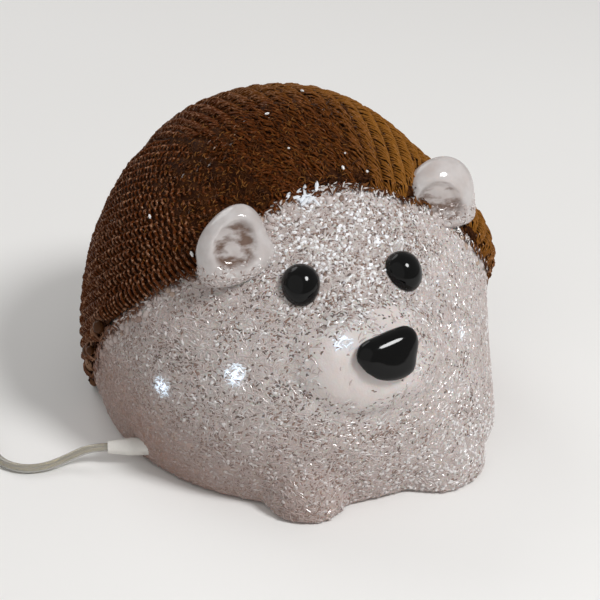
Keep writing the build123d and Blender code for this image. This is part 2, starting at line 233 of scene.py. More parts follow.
class Board:
    def __init__(self, name, **fixed):
        self.material = bpy.data.materials.new(name)
        self.material.use_nodes = True
        self.tree = self.material.node_tree
        self.shader = self.tree.nodes["Principled BSDF"]
        self.coordinates = None
        for key, value in fixed.items():
            self.shader.inputs[key.replace("_", " ")].default_value = value

    def plug(self, socket, value):
        if isinstance(value, Signal):
            self.tree.links.new(value.socket, socket)
        else:
            socket.default_value = value

    def add(self, kind, settings, inputs, output=0):
        node = self.tree.nodes.new(kind)
        for key, value in settings.items():
            setattr(node, key, value)
        for key, value in inputs.items():
            self.plug(node.inputs[key], value)
        return Signal(self, node.outputs[output])

    def place(self):
        if not self.coordinates:
            self.coordinates = self.add("ShaderNodeTexCoord", {}, {}, "Object")
        return self.coordinates

    def noise(self, size, detail=2.0, stretch=(1, 1, 1), shift=(0, 0, 0)):
        inputs = {"Vector": self.place(), "Scale": stretch, "Location": shift}
        where = self.add("ShaderNodeMapping", {}, inputs)
        inputs = {"Vector": where, "Scale": 1 / size, "Detail": detail}
        return self.add("ShaderNodeTexNoise", {}, inputs)

    def number(self, name):
        return self.add("ShaderNodeAttribute", {"attribute_name": name}, {}, "Fac")

    def colour(self, name):
        return self.add("ShaderNodeAttribute", {"attribute_name": name}, {}, "Color")

    def span(self, value, low, high, start=0.0, end=1.0):
        inputs = {"Value": value, "From Min": low, "From Max": high, "To Min": start, "To Max": end}
        return self.add("ShaderNodeMapRange", {}, inputs)

    def mix(self, factor, first, second):
        inputs = {0: factor, 6: first, 7: second}  # the colour sockets of a Mix node
        return self.add("ShaderNodeMix", {"data_type": "RGBA"}, inputs, 2)

    def bump(self, height, strength, distance):
        inputs = {"Height": height, "Strength": strength, "Distance": distance}
        return self.add("ShaderNodeBump", {}, inputs)

    def give(self, name, value):
        self.plug(self.shader.inputs[name], value)


def rgb(red, green, blue):
    return (red, green, blue, 1.0)


# Cable: the clear jacket, its two copper cores, and the put-away coil

cableSet = {
    "diameter": 2.4 * mm,
    "route": (
        (-58.68, -11.81, 5.0),
        (-63.35, -10.01, 5.0),
        (-69.0, -8.22, 2.1),
        (-75.5, -8.82, 1.2),
        (-81.5, -7.22, 1.2),
        (-85.6, -1.82, 1.2),
        (-86.2, 5.78, 1.3),
        (-84.6, 13.78, 1.6),
        (-84.1, 22.38, 2.0),
        (-84.1, 27.38, 2.0),
    ),
    "coilMiddle": (-101.0, 29.78),
    "coilRadius": 16.9,
    "coilLow": 2.0,
    "layer": 2.9,
    "halfTurnsIn": 4,
    "halfTurnsOut": 3,
    "pointsPerHalfTurn": 9,
    "tail": 15.0,
    "tailShares": (0.25, 0.6, 1.0),
    "jacketSteps": (6, 3),
    "coreRadius": 0.42 * mm,
    "coreGap": 0.52 * mm,
    "coreSteps": (1, 1),
    "length": 0.43,
}


def coilLine(s):
    step = s["layer"] / 2
    inner = s["coilRadius"] - s["halfTurnsIn"] * step
    radii = [s["coilRadius"] - turn * step for turn in range(s["halfTurnsIn"] + 1)]
    radii += [inner + (turn + 1) * step for turn in range(s["halfTurnsOut"])]
    x, y = s["coilMiddle"][0] + s["coilRadius"], s["coilMiddle"][1]
    height = s["coilLow"]
    points = [(x, y, height)]
    for turn, radius in enumerate(radii):
        side = 1 if turn % 2 == 0 else -1
        climb = s["layer"] if turn == s["halfTurnsIn"] else 0.0
        for number in range(1, s["pointsPerHalfTurn"] + 1):
            share = number / s["pointsPerHalfTurn"]
            angle = math.pi * share
            across = x - side * radius * (1 - math.cos(angle))
            along = y + side * radius * math.sin(angle)
            points.append((across, along, height + climb * share))
        x -= side * 2 * radius
        height += climb
    points += [(x, y + s["tail"] * share, height) for share in s["tailShares"]]
    return points


def makeLine(name, points, radius, stepsAlong, stepsRound):
    curve = bpy.data.curves.new(name, "CURVE")
    curve.dimensions = "3D"
    spline = curve.splines.new("NURBS")
    spline.points.add(len(points) - 1)
    for point, place in zip(spline.points, points):
        point.co = (*place, 1.0)
    spline.order_u = 3
    spline.use_endpoint_u = True
    spline.resolution_u = stepsAlong
    curve.bevel_depth = radius
    curve.bevel_resolution = stepsRound
    curve.use_fill_caps = True
    return addPiece(name, curve)


def lineOf(piece):
    bare = piece.copy()
    bare.data = piece.data.copy()
    bare.data.bevel_depth = 0.0
    bpy.context.scene.collection.objects.link(bare)
    bpy.context.view_layer.update()
    evaluated = bare.evaluated_get(bpy.context.evaluated_depsgraph_get())
    mesh = bpy.data.meshes.new_from_object(evaluated)
    places = [v.co.copy() for v in mesh.vertices]
    bpy.data.objects.remove(bare)
    return places


def besideLine(places, side):
    moved = []
    for number, place in enumerate(places):
        ahead = places[min(number + 1, len(places) - 1)]
        behind = places[max(number - 1, 0)]
        across = (ahead - behind).cross(Vector((0, 0, 1))).normalized()
        moved.append(place + across * side)
    return moved


def jacketFinish():
    clear = {"Transmission_Weight": 0.75, "IOR": 1.45, "Coat_Weight": 0.5}
    board = Board("clearJacket", Roughness=0.12, **clear)
    cloud = board.noise(1.6 * mm)
    board.give("Base Color", board.mix(cloud, rgb(0.80, 0.79, 0.74), rgb(0.93, 0.92, 0.88)))
    board.give("Normal", board.bump(board.noise(0.5 * mm), 0.2, 0.05 * mm))
    return board.material


def coreFinish():
    board = Board("copperCores", Metallic=0.6, Roughness=0.35)
    strand = board.noise(0.3 * mm, 3.0)
    board.give("Base Color", board.mix(strand, rgb(0.20, 0.15, 0.05), rgb(0.46, 0.37, 0.16)))
    board.give("Normal", board.bump(strand, 0.5, 0.05 * mm))
    return board.material


def makeCable(s):
    route = [tuple(value * mm for value in point) for point in s["route"]]
    coil = [tuple(value * mm for value in point) for point in coilLine(s)]
    jacket = makeLine("cableJacket", route + coil, s["diameter"] / 2, *s["jacketSteps"])
    settle(jacket, jacketFinish())
    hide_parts("supply_cord", "cord_coil")
    places = lineOf(jacket)
    finish = coreFinish()
    for side, name in ((-1, "cableCoreA"), (1, "cableCoreB")):
        beside = besideLine(places, side * s["coreGap"])
        core = makeLine(name, beside, s["coreRadius"], *s["coreSteps"])
        pick(core)
        bpy.ops.object.convert(target="MESH")
        settle(core, finish)


makeCable(cableSet)
print("cable laid")


# Body skin: shell, muzzle and front paws flow into each other

skinSet = {
    "joined": ("muzzle", "front_right_paw", "front_left_paw"),
    "voxel": 1.0 * mm,
    "smoothRounds": 20,
    "ripple": 0.45 * mm,
    "rippleSize": 2.6 * mm,
    "rippleDetail": 2,
    "swellWay": (0.91, -0.41, 0.0),
    "swellReach": 11 * mm,
    "swells": (
        ((31 * mm, -48 * mm, 7 * mm), 6.0 * mm),
        ((46 * mm, -12 * mm, 50 * mm), 5.0 * mm),
    ),
    "tuck": 1.0 * mm,
    "coatReach": 8 * mm,
    "faceReach": 5 * mm,
    "underside": -0.6,
    "glowReach": 6.0 * mm,
    "lampWeights": {"led_1": 1.0, "led_2": 1.0, "led_3": 0.85, "led_8": 0.35},
    "otherLamps": 0.2,
}


def addRipple(piece, s):
    pattern = bpy.data.textures.new("ripple", "CLOUDS")
    pattern.noise_scale = s["rippleSize"]
    pattern.noise_depth = s["rippleDetail"]
    settings = {"strength": s["ripple"], "mid_level": 0.5, "texture_coords": "LOCAL"}
    applyModifier(piece, "DISPLACE", texture=pattern, **settings)


def keepAboveFloor(piece):
    places = vertexPlaces(piece.data)
    places[:, 2] = np.maximum(places[:, 2], 0.0)
    setPlaces(piece.data, places)


def swell(piece, s):
    # fuller at the left front foot and below the left ear
    places = vertexPlaces(piece.data)
    total = np.zeros(len(places))
    for middle, depth in s["swells"]:
        total += depth * np.exp(-0.5 * (gapsTo(middle, places) / s["swellReach"]) ** 2)
    setPlaces(piece.data, places + np.array(s["swellWay"]) * total[:, None])


def makeSkin(s):
    skin = copyNode("body_shell", "bodySkin")
    bpy.ops.object.mode_set(mode="EDIT")
    bpy.ops.mesh.select_all(action="SELECT")
    bpy.ops.mesh.convex_hull()
    bpy.ops.object.mode_set(mode="OBJECT")
    parts = [copyNode(node, node + "Copy") for node in s["joined"]]
    pick(skin, *parts)
    bpy.ops.object.join()
    remesh(skin, s)
    swell(skin, s)
    calm = treeOf(skin)
    addRipple(skin, s)
    keepAboveFloor(skin)
    smoothFaces(skin)
    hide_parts("body_shell", *s["joined"])
    return skin, calm


def covered(place, normal, tree, reach):
    way = Vector(normal)
    start = Vector(place) + way * 0.1 * mm  # just off the surface
    return tree.ray_cast(start, way, reach)[0] is not None


def coatedSkin(place, normal):
    return covered(place, normal, coatTree, skinSet["coatReach"])


def bareSkin(place, normal):
    if normal[2] < skinSet["underside"] or coatedSkin(place, normal):
        return False
    return not any(covered(place, normal, tree, skinSet["faceReach"]) for tree in faceTrees)


def tuckUnderCoat(piece, depth):
    places, normals = vertexPlaces(piece.data), vertexNormals(piece.data)
    hidden = [coatedSkin(place, normal) for place, normal in zip(places, normals)]
    places[hidden] -= normals[hidden] * depth
    setPlaces(piece.data, places)


def lampGlow(node):
    middle = boxMiddle(node)
    wall = shellTree.find_nearest(middle)[0]
    return skinTree.ray_cast(middle, (wall - middle).normalized())[0]


# Bed of the coat: its rim differs from the CAD form on both flanks

bedSet = {
    "voxel": 1.0 * mm,
    "smoothRounds": 16,
    "inside": (0.0, 4 * mm, 20 * mm),
    "sink": 1.0 * mm,
    "forward": 3.0 * mm,
    "leftSide": (30 * mm, 46 * mm),
    "leftFront": (20 * mm, -10 * mm),
    "leftLow": (50 * mm, 30 * mm),
    "lowGain": 3.4,
    "earClear": 7.5 * mm,
    "earReach": 14 * mm,
    "flankBack": 7.0 * mm,
    "rightSide": (-30 * mm, -38 * mm),
    "rightFront": (25 * mm, -5 * mm),
    "rightFoot": (16 * mm, 28 * mm),
    "rightTop": (61 * mm, 52 * mm),
    "leastShift": 0.01 * mm,
}


def coatBedFinish():
    board = Board("brownBed", Roughness=0.6, Specular_IOR_Level=0.05)
    cloud = board.span(board.noise(3 * mm, 3.0), 0.35, 0.65)
    grain = board.noise(0.7 * mm, 2.0)
    tint = board.mix(cloud, rgb(0.016, 0.004, 0.001), rgb(0.042, 0.013, 0.003))
    tint = board.mix(board.span(grain, 0.58, 0.72), tint, rgb(0.12, 0.042, 0.008))
    board.give("Base Color", tint)
    board.give("Normal", board.bump(grain, 0.7, 0.4 * mm))
    return board.material


def moveRim(places, s):
    # forward low on the animal's left, back from the left ear and on the right flank
    x, y, z = places.T
    left = ramp(x, *s["leftSide"]) * ramp(y, *s["leftFront"])
    shift = left * (1 + s["lowGain"] * ramp(z, *s["leftLow"])) * s["forward"]
    shift -= ramp(gapsTo(boxMiddle("left_ear"), places), s["earReach"], 0) * s["earClear"]
    right = ramp(x, *s["rightSide"]) * ramp(y, *s["rightFront"])
    band = ramp(z, *s["rightFoot"]) * ramp(z, *s["rightTop"])
    shift -= right * band * s["flankBack"]
    for number in np.flatnonzero(np.abs(shift) > s["leastShift"]):
        old = Vector(places[number])
        spot, normal = calmTree.find_nearest(old)[:2]
        height = (old - spot).dot(normal)
        spot, normal = calmTree.find_nearest(old - Vector((0, shift[number], 0)))[:2]
        places[number] = spot + normal * height


def makeCoatBed(s):
    bed = copyNode("spine_coat", "coatBed")
    remesh(bed, s)
    swell(bed, skinSet)
    places, normals = vertexPlaces(bed.data), vertexNormals(bed.data)
    outer = np.einsum("ij,ij->i", normals, places - np.array(s["inside"])) > 0
    places[outer] -= normals[outer] * s["sink"]
    moveRim(places, s)
    setPlaces(bed.data, places)
    keepAboveFloor(bed)
    smoothFaces(bed)
    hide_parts("spine_coat")
    return settle(bed, coatBedFinish())


lampNodes = sorted(node for node in nodes if node.startswith("led_") and node[-1].isdigit())
skin, calmTree = makeSkin(skinSet)
skinTree = treeOf(skin)
coatTree = treeOf(makeCoatBed(bedSet))
shellTree = treeOf(nodes["body_shell"])
faceTrees = [treeOf(nodes[node]) for node in ("nose", "right_eye", "left_eye")]
glowPlaces = np.array([lampGlow(node) for node in lampNodes])
tuckUnderCoat(skin, skinSet["tuck"])


# Zones of the skin: painted shade below and behind, smooth at the muzzle, bright at brow and foot

zoneSet = {
    "shadeLow": (32 * mm, 0),
    "shadeRight": (30 * mm, -40 * mm),
    "shadeRear": (-40 * mm, 5 * mm),
    "lowShares": (0.10, 0.75),
    "rearShares": (0.62, 0.6),
    "chin": (-5 * mm, 3 * mm, -4 * mm),
    "chinSquash": (0.72, 0.6, 1.0),
    "chinFade": (17 * mm, 7 * mm),
    "bridge": (6 * mm, 6 * mm, 9 * mm),
    "bridgeFade": (10 * mm, 5 * mm),
    "bridgeShare": 0.8,
    "brow": (4 * mm, -30 * mm, 63 * mm),
    "browSquash": (0.8, 0.6, 1.0),
    "browFade": (26 * mm, 6 * mm),
    "footLow": (22 * mm, 12 * mm),
    "footFront": (-34 * mm, -48 * mm),
    "footLeft": (-20 * mm, 10 * mm),
    "footLeast": 0.2,
    "cheekRight": (14 * mm, -16 * mm),
}
noseMiddle = np.array(boxMiddle("nose"))
lampWeights = skinSet["lampWeights"]
glowWeights = np.array([lampWeights.get(node, skinSet["otherLamps"]) for node in lampNodes])


def glowAt(places, reach):
    gaps = np.linalg.norm(places[:, None, :] - glowPlaces[None], axis=2)
    return (ramp(gaps, reach, 0) ** 2 * glowWeights).max(axis=1)


def shadeAt(places, s=zoneSet):
    # painted shade: darker low down, towards the back and on the right flank
    x, y, z = places.T
    low, right, rear = ramp(z, *s["shadeLow"]), ramp(x, *s["shadeRight"]), ramp(y, *s["shadeRear"])
    below, aside = s["lowShares"]
    behind, lower = s["rearShares"]
    return np.clip(low * (below + aside * right) + rear * right * (behind + lower * low), 0, 1)


def smoothAt(places, s=zoneSet):
    chinGaps = ovalGaps(noseMiddle + np.array(s["chin"]), places, s["chinSquash"])
    bridgeGaps = gapsTo(noseMiddle + np.array(s["bridge"]), places)
    bridge = s["bridgeShare"] * ramp(bridgeGaps, *s["bridgeFade"])
    return np.maximum(ramp(chinGaps, *s["chinFade"]), bridge)


def browAt(places, s=zoneSet):
    return ramp(ovalGaps(s["brow"], places, s["browSquash"]), *s["browFade"])


def footAt(places, s=zoneSet):
    x, y, z = places.T
    left = np.maximum(ramp(x, *s["footLeft"]), s["footLeast"])
    return ramp(z, *s["footLow"]) * ramp(y, *s["footFront"]) * left


def rightAt(places, s=zoneSet):
    return ramp(places[:, 0], *s["cheekRight"])


def skinFinish():
    depth = {"Subsurface_Weight": 0.3, "Subsurface_Scale": 4 * mm}
    board = Board("frostedThreads", IOR=1.4, Emission_Strength=0.4, **depth)
    shade = board.number("shade")
    even = board.number("even")
    cloud = board.noise(8 * mm, 3.0)
    tint = board.mix(board.span(cloud, 0.3, 0.7), rgb(0.51, 0.425, 0.40), rgb(0.58, 0.51, 0.49))
    tint = board.mix(even, tint, rgb(0.66, 0.60, 0.58))
    # painted shade: the skin turns mauve-brown where the shade number is high
    paintedShade = board.span(shade + cloud * 0.5, 0.30, 1.25)
    tint = board.mix(paintedShade, tint, rgb(0.30, 0.175, 0.135))
    grain = board.noise(0.62 * mm, 2.0, (1, 1, 1.4))
    fleck = board.span(grain, 0.60, 0.68) * (1 - even * 0.97)
    tint = board.mix(fleck * 0.4, tint, rgb(0.20, 0.12, 0.085))
    # pale glossy spots, partly pale threads and partly painted glints
    spark = board.noise(0.7 * mm, 2.0, (1.4, 1, 1), (0.3, 0.1, 0.7))
    shine = board.span(spark, 0.60, 0.68) * (1 - even * 0.8)
    tint = board.mix(shine * 0.45, tint, rgb(0.80, 0.775, 0.77))
    board.give("Base Color", tint)
    board.give("Roughness", 0.45 - shine * 0.2)
    board.give("Coat Weight", 0.1 + shine * 0.5)
    # painted lamp light: the skin glows bluish where the lamps behind it shine through
    glow = board.number("glow")
    board.give("Emission Color", board.mix(glow, rgb(0, 0, 0), rgb(0.40, 0.48, 0.60)))
    relief = grain * 0.6 + spark
    board.give("Normal", board.bump(relief * (1 - even * 0.85), 0.7, 0.45 * mm))
    return board.material


def finishSkin():
    places = vertexPlaces(skin.data)
    writeNumbers(skin.data, "shade", shadeAt(places))
    writeNumbers(skin.data, "even", smoothAt(places))
    writeNumbers(skin.data, "glow", glowAt(places, skinSet["glowReach"]))
    settle(skin, skinFinish())


finishSkin()
print("body skin made", len(skin.data.polygons), "faces")


# Short threads and granules fused to the skin, each shape modelled once and copied

curlSet = {
    "sides": 4,
    "cuts": (-0.2, 0.2),
    "ends": 0.4,
    "taper": 0.45,
    "bend": 0.35,
}


def takeShape(piece):
    places = vertexPlaces(piece.data)
    faces = np.array([face.vertices[:] for face in piece.data.polygons])
    bpy.data.objects.remove(piece)
    return places, faces


def makeCurl(s):
    deselectAll()
    lying = (0, math.pi / 2, 0)
    bpy.ops.mesh.primitive_cylinder_add(vertices=s["sides"], radius=0.5, depth=1.0, rotation=lying)
    curl = bpy.context.object
    bpy.ops.object.transform_apply(location=False, rotation=True, scale=False)
    bpy.ops.object.mode_set(mode="EDIT")
    for cut in s["cuts"]:
        bpy.ops.mesh.select_all(action="SELECT")
        bpy.ops.mesh.bisect(plane_co=(cut, 0, 0), plane_no=(1, 0, 0))
    bpy.ops.mesh.select_all(action="SELECT")
    bpy.ops.mesh.quads_convert_to_tris()
    bpy.ops.object.mode_set(mode="OBJECT")
    places = vertexPlaces(curl.data)
    ends = np.abs(places[:, 0]) > s["ends"]
    places[ends, 1:] *= s["taper"]
    places[ends, 1] -= s["bend"]  # the ends turn to one side
    setPlaces(curl.data, places)
    return takeShape(curl)


def makeGranule(rounds):
    deselectAll()
    bpy.ops.mesh.primitive_ico_sphere_add(subdivisions=rounds, radius=0.5)
    return takeShape(bpy.context.object)


def samplePlaces(piece, draw, count):
    mesh = piece.data
    mesh.calc_loop_triangles()
    corners = np.zeros(len(mesh.loop_triangles) * 3, np.int64)
    mesh.loop_triangles.foreach_get("vertices", corners)
    a, b, c = vertexPlaces(mesh)[corners.reshape(-1, 3)].transpose(1, 0, 2)
    cross = np.cross(b - a, c - a)
    areas = np.linalg.norm(cross, axis=1)
    chosen = draw.choice(len(areas), count, p=areas / areas.sum())
    u, v = draw.random(count), draw.random(count)
    over = u + v > 1
    u[over], v[over] = 1 - u[over], 1 - v[over]
    places = a[chosen] + u[:, None] * (b - a)[chosen] + v[:, None] * (c - a)[chosen]
    return places, cross[chosen] / areas[chosen][:, None]


def choosePlaces(draw, wanted, s, fits, ground=None):
    places, normals = samplePlaces(ground or skin, draw, wanted * s["tries"])
    likely = np.flatnonzero(draw.random(len(places)) < s["chance"](places, s))
    kept = []
    for number in likely:
        if len(kept) == wanted:
            break
        if fits(places[number], normals[number]):
            kept.append(number)
    return places[kept], normals[kept]


def copyOver(name, shape, places, normals, sizes, turns, colours, glow):
    corners, faces = shape
    upright = np.abs(normals[:, 2:3]) > 0.9
    helper = np.where(upright, np.array([[1.0, 0, 0]]), np.array([[0, 0, 1.0]]))
    east = np.cross(helper, normals)
    east /= np.linalg.norm(east, axis=1)[:, None]
    north = np.cross(normals, east)
    along = east * np.cos(turns)[:, None] + north * np.sin(turns)[:, None]
    across = np.cross(normals, along)
    local = corners[None] * sizes[:, None, :]
    spots = places[:, None] + local[..., 0:1] * along[:, None] + local[..., 1:2] * across[:, None]
    spots += local[..., 2:3] * normals[:, None]
    spots[..., 2] = np.maximum(spots[..., 2], 0.0)
    total, each = len(places), len(corners)
    allFaces = (faces[None] + (np.arange(total) * each)[:, None, None]).reshape(-1, 3)
    mesh = bpy.data.meshes.new(name)
    mesh.from_pydata(spots.reshape(-1, 3), [], allFaces)
    writeColours(mesh, "tone", np.repeat(colours, each, axis=0))
    writeNumbers(mesh, "glow", np.repeat(glow, each))
    print(name, total, "copies", len(allFaces), "faces")
    return addPiece(name, mesh)


def layPieces(s, values, material):
    for number, name in enumerate(s["pieces"]):
        part = slice(number * s["count"], (number + 1) * s["count"])
        piece = copyOver(name, s["shape"], *[value[part] for value in values])
        settle(piece, material)


def drawSizes(draw, s, count):
    widths = draw.uniform(*s["width"], count)
    lengths = draw.uniform(*s["length"], count)
    if s.get("lengthInWidths"):
        lengths = widths * lengths
    return np.stack([lengths, widths, widths * s["height"]], axis=1)


def pickTones(draw, tones, count):
    edges = np.cumsum([share for share, tone in tones])
    kinds = np.minimum(np.searchsorted(edges, draw.random(count) * edges[-1]), len(edges) - 1)
    return np.array([tone for share, tone in tones])[kinds]


def threadFinish():
    clear = {"IOR": 1.45, "Transmission_Weight": 0.15}
    board = Board("fusedThreads", Roughness=0.26, Emission_Strength=0.9, **clear)
    cloud = board.noise(0.6 * mm)
    tone = board.colour("tone")
    glow = board.number("glow")
    board.give("Base Color", board.mix(cloud * 0.25, tone, rgb(0.70, 0.66, 0.65)))
    board.give("Coat Weight", 0.1 + cloud * 0.4)
    # painted lamp light and glints: the threads glow bluish white by their glow number
    board.give("Emission Color", board.mix(glow, rgb(0, 0, 0), rgb(0.74, 0.86, 1.0)))
    board.give("Normal", board.bump(cloud, 0.2, 0.1 * mm))
    return board.material


def rimGaps(places):
    return np.array([coatTree.find_nearest(Vector(place))[3] for place in places])


def fleckChance(places, s):
    patch = np.array([turbulence(Vector(place) / s["patch"], 2, False) for place in places])
    thick = s["base"] + s["onBrow"] * browAt(places)
    thick = thick + s["onRight"] * rightAt(places) + s["inPatch"] * patch
    return (1 - s["offSmooth"] * smoothAt(places)) * np.clip(thick, s["least"], 1)


def clearChance(places, s):
    return 1 - s["offSmooth"] * smoothAt(places)


def sparkChance(places, s):
    thick = s["base"] + s["onRight"] * rightAt(places)
    thick = thick + s["onBrow"] * browAt(places) + s["onFoot"] * footAt(places)
    return np.clip(thick, 0, 1) * (1 - s["offSmooth"] * smoothAt(places))


def rimChance(places, s):
    start, run, least = s["fade"]
    low = np.clip(start - places[:, 2] / run, least, 1)
    return np.where(rimGaps(places) < s["rimReach"], low, 0.0)


def frayChance(places, s):
    return np.where(rimGaps(places) < s["rimReach"], 1.0, 0.0)


def lampChance(places, s):
    return np.clip(glowAt(places, s["reach"]) - s["dimmest"], 0, 1)


curl = makeCurl(curlSet)
fusedSet = {
    "shape": curl,
    "tries": 8,
    "lift": 0.0,
    "turn": (0.35, 0.8),
    # tone and share of the painted shade on the threads
    "paintedShade": (0.31, 0.18, 0.14),
    "paintedShadeShare": 0.85,
    # bluish white of the painted lamp light on threads near the lamps
    "lit": (0.86, 0.92, 0.98),
    "litReach": 4.4 * mm,
    "litShare": 0.55,
    "litFrom": 0.1,
}
fleckSet = {
    **fusedSet,
    "seed": 11,
    "pieces": ("brownFlecksA", "brownFlecksB"),
    "count": 5200,
    "chance": fleckChance,
    "base": 0.16,
    "onBrow": 0.8,
    "onRight": 0.35,
    "inPatch": 0.8,
    "patch": 7 * mm,
    "least": 0.05,
    "offSmooth": 0.98,
    "length": (0.5 * mm, 1.35 * mm),
    "width": (0.28 * mm, 0.62 * mm),
    "height": 0.35,
    "tones": (
        (0.5, (0.075, 0.037, 0.023)),
        (0.3, (0.20, 0.10, 0.060)),
        (0.2, (0.31, 0.22, 0.18)),
    ),
}
clearSet = {
    **fusedSet,
    "seed": 12,
    "pieces": ("clearThreadsA", "clearThreadsB"),
    "count": 6200,
    "chance": clearChance,
    "offSmooth": 0.99,
    "length": (1.0 * mm, 2.6 * mm),
    "width": (0.28 * mm, 0.55 * mm),
    "height": 0.8,
    "tones": (
        (0.6, (0.53, 0.45, 0.425)),
        (0.3, (0.61, 0.54, 0.52)),
        (0.1, (0.84, 0.81, 0.80)),
    ),
}
sparkSet = {
    **fusedSet,
    "seed": 13,
    "pieces": ("brightGrains",),
    "count": 3800,
    "shape": makeGranule(1),
    "chance": sparkChance,
    "base": 0.03,
    "onRight": 0.04,
    "onBrow": 0.85,
    "onFoot": 0.6,
    "offSmooth": 0.95,
    "length": (0.6 * mm, 1.7 * mm),
    "width": (0.5 * mm, 1.0 * mm),
    "height": 0.9,
    # painted glints: a share of the grains over the brow glows
    "gleam": 0.28,
    "gleamShare": 0.35,
    "tones": (
        (0.75, (0.90, 0.89, 0.89)),
        (0.25, (0.74, 0.70, 0.69)),
    ),
}
rimSet = {
    **fusedSet,
    "seed": 14,
    "pieces": ("rimGranules",),
    "count": 420,
    "tries": 90,
    "shape": makeGranule(2),
    "chance": rimChance,
    "rimReach": 5 * mm,
    "fade": (1.2, 60 * mm, 0.15),
    "length": (1.1 * mm, 2.9 * mm),
    "width": (1.0 * mm, 2.2 * mm),
    "height": 0.8,
    "tones": (
        (0.6, (0.60, 0.53, 0.51)),
        (0.25, (0.40, 0.28, 0.20)),
        (0.15, (0.16, 0.08, 0.045)),
    ),
}
glassSet = {
    **fusedSet,
    "seed": 15,
    "pieces": ("rimGlass",),
    "count": 260,
    "tries": 150,
    "chance": frayChance,
    "rimReach": 2.4 * mm,
    "length": (1.2 * mm, 2.8 * mm),
    "width": (0.30 * mm, 0.55 * mm),
    "height": 0.9,
    "lift": 0.7 * mm,
    "tones": ((1.0, (0.84, 0.82, 0.80)),),
}
fraySet = {
    **glassSet,
    "seed": 16,
    "pieces": ("rimFray",),
    "count": 900,
    "tries": 90,
    "length": (1.4 * mm, 3.2 * mm),
    "width": (0.30 * mm, 0.60 * mm),
    "tones": (
        (0.6, (0.045, 0.014, 0.005)),
        (0.4, (0.17, 0.068, 0.020)),
    ),
}
# pale threads over the lamps, which carry the painted lamp light
lampSet = {
    **fusedSet,
    "seed": 17,
    "pieces": ("lampThreads",),
    "count": 300,
    "tries": 400,
    "chance": lampChance,
    "reach": 5 * mm,
    "dimmest": 0.1,
    "length": (0.9 * mm, 2.2 * mm),
    "width": (0.25 * mm, 0.45 * mm),
    "height": 0.9,
    "lift": 0.2 * mm,
    "tones": ((1.0, (0.82, 0.84, 0.88)),),
}


def strew(s, material, ground=None):
    draw = np.random.RandomState(s["seed"])
    wanted = s["count"] * len(s["pieces"])
    places, normals = choosePlaces(draw, wanted, s, bareSkin, ground)
    total = len(places)
    colours = pickTones(draw, s["tones"], total)
    # painted shade on the threads, as on the skin
    paintedShade = shadeAt(places)[:, None] * s["paintedShadeShare"]
    colours = colours * (1 - paintedShade) + np.array(s["paintedShade"]) * paintedShade
    # painted lamp light: some threads near the lamps turn bluish white and glow
    glow = glowAt(places, s["litReach"]) * (draw.random(total) < s["litShare"])
    colours = np.where(glow[:, None] > s["litFrom"], np.array([s["lit"]]), colours)
    # painted glints: a share of the bright grains glows over the brow
    if "gleam" in s:
        gleaming = draw.random(total) < s["gleamShare"]
        glow = np.maximum(glow, s["gleam"] * browAt(places) * gleaming)
    places = places + normals * s["lift"]
    sizes = drawSizes(draw, s, total)
    turns = draw.normal(*s["turn"], total)
    layPieces(s, (places, normals, sizes, turns, colours, glow), material)


threadMaterial = threadFinish()
for threads in (fleckSet, clearSet, sparkSet, rimSet, glassSet, lampSet):
    strew(threads, threadMaterial)


# Clear shards at the brow, over the lamp behind the rim

shardSet = {
    "seed": 19,
    "lamp": "led_8",
    "middle": (1.5 * mm, -2.6 * mm),
    "spread": (2.2 * mm, 1.3 * mm),
    "count": 16,
    "length": (2.0 * mm, 4.6 * mm),
    "width": (0.6 * mm, 1.3 * mm),
    "height": 1.0,
    "lift": 1.1 * mm,
    "liftPlay": (0.2, 1.0),
    "tone": (0.80, 0.83, 0.87),
    "glow": 0.16,
}


def makeShards(s, material):
    draw = np.random.RandomState(s["seed"])
    lamp = Vector(glowPlaces[lampNodes.index(s["lamp"])])
    spot, normal = calmTree.find_nearest(lamp)[:2]
    east = Vector((0, 0, 1)).cross(normal).normalized()
    north = normal.cross(east)
    total = s["count"]
    shifts = draw.normal(s["middle"], s["spread"], (total, 2))
    feet = [calmTree.find_nearest(spot + east * x + north * y)[:2] for x, y in shifts]
    normals = np.array([way for _, way in feet])
    lifts = normals * draw.uniform(*s["liftPlay"], total)[:, None] * s["lift"]
    places = np.array([foot for foot, _ in feet]) + lifts
    sizes = drawSizes(draw, s, total)
    turns = draw.uniform(0, math.pi, total)
    tones = np.tile(np.array(s["tone"]), (total, 1))
    # painted lamp light: the shards glow a little
    glow = s["glow"] * draw.random(total)
    shards = copyOver("browShards", makeGranule(1), places, normals, sizes, turns, tones, glow)
    settle(shards, material)


makeShards(shardSet, threadMaterial)
print("threads strewn")


# Coat: ribs of thread wound over the bed like rope

